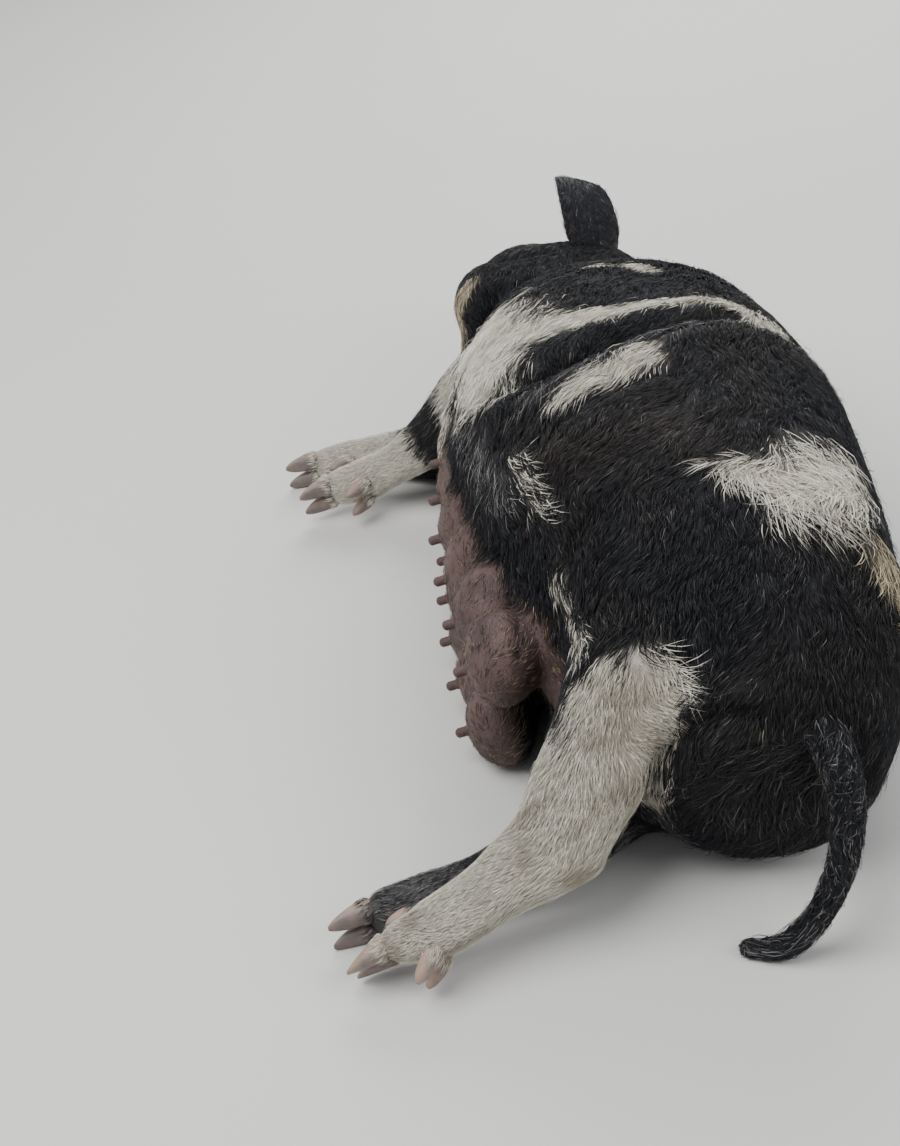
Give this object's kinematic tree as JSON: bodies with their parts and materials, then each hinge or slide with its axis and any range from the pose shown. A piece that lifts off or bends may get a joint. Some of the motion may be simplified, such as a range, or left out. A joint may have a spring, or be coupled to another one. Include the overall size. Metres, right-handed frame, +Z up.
{
  "type": "kunekune pig",
  "caption": "Life-size kunekune sow asleep on her side, with legs stretched out, a full udder and a hairy black and white coat.",
  "frame": {"origin": "on the floor, in the middle of the flat that the barrel rests on", "axes": "+X from the belly to the back, +Y from the tail to the head, +Z up from the floor"},
  "size_m": [0.7544, 1.4514, 0.4216],
  "materials": {
    "dark_coat": "long black hair with white patches",
    "pale_coat": "long cream hair",
    "udder_skin": "thinly haired skin",
    "snout_skin": "moist dark skin",
    "horn": "dull horn",
    "eye": "wet dark eye"
  },
  "bodies": {
    "root": {"barrel": "dark_coat", "chest": "dark_coat", "ear_left": "dark_coat", "ear_right": "dark_coat", "eye_left": "eye", "eye_right": "eye", "fore_left_cannon": "dark_coat", "fore_left_claw_inner": "horn", "fore_left_claw_outer": "horn", "fore_left_dewclaw_inner": "horn", "fore_left_dewclaw_outer": "horn", "fore_left_foot": "dark_coat", "fore_left_forearm": "dark_coat", "fore_right_cannon": "dark_coat", "fore_right_claw_inner": "horn", "fore_right_claw_outer": "horn", "fore_right_dewclaw_inner": "horn", "fore_right_dewclaw_outer": "horn", "fore_right_foot": "dark_coat", "fore_right_forearm": "dark_coat", "head": "dark_coat", "hind_left_cannon": "pale_coat", "hind_left_claw_inner": "horn", "hind_left_claw_outer": "horn", "hind_left_dewclaw_inner": "horn", "hind_left_dewclaw_outer": "horn", "hind_left_foot": "pale_coat", "hind_left_gaskin": "pale_coat", "hind_right_cannon": "dark_coat", "hind_right_claw_inner": "horn", "hind_right_claw_outer": "horn", "hind_right_dewclaw_inner": "horn", "hind_right_dewclaw_outer": "horn", "hind_right_foot": "dark_coat", "hind_right_gaskin": "dark_coat", "neck": "dark_coat", "rump": "dark_coat", "snout": "snout_skin", "tail": "dark_coat", "tail_tuft": "dark_coat", "tassel_left": "dark_coat", "tassel_right": "dark_coat", "udder": "udder_skin"}
  },
  "joints": []
}
